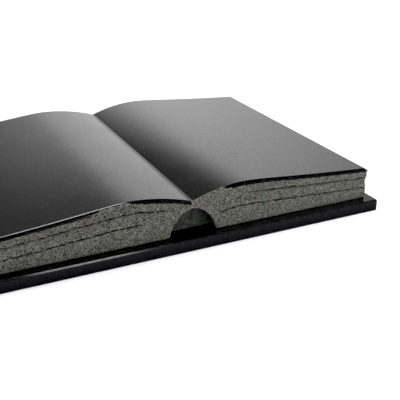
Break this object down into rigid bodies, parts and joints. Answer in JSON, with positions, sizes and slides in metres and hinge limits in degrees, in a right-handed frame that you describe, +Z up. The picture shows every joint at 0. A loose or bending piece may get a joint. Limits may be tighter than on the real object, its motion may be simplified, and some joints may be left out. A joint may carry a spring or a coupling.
{
  "type": "granite book memorial",
  "caption": "Open stone book for a grave, with curved polished pages, rough picked leaf edges and an arched spine hollow, bonded on a thin polished cover slab.",
  "frame": {"origin": "middle of the cover slab's underside", "axes": "+Z up; +X across the open book towards the right page's fore edge; -Y towards the foot edge, which a reader faces"},
  "size_m": [0.412, 0.319, 0.0559],
  "materials": {
    "worked_granite": "pages and chamfer mirror polished near black, sides finely picked to mid grey, spine hollow honed",
    "polished_granite": "mirror polished near black, sawn underside"
  },
  "bodies": {
    "root": {"book_block": "worked_granite", "cover_slab": "polished_granite"}
  },
  "joints": []
}
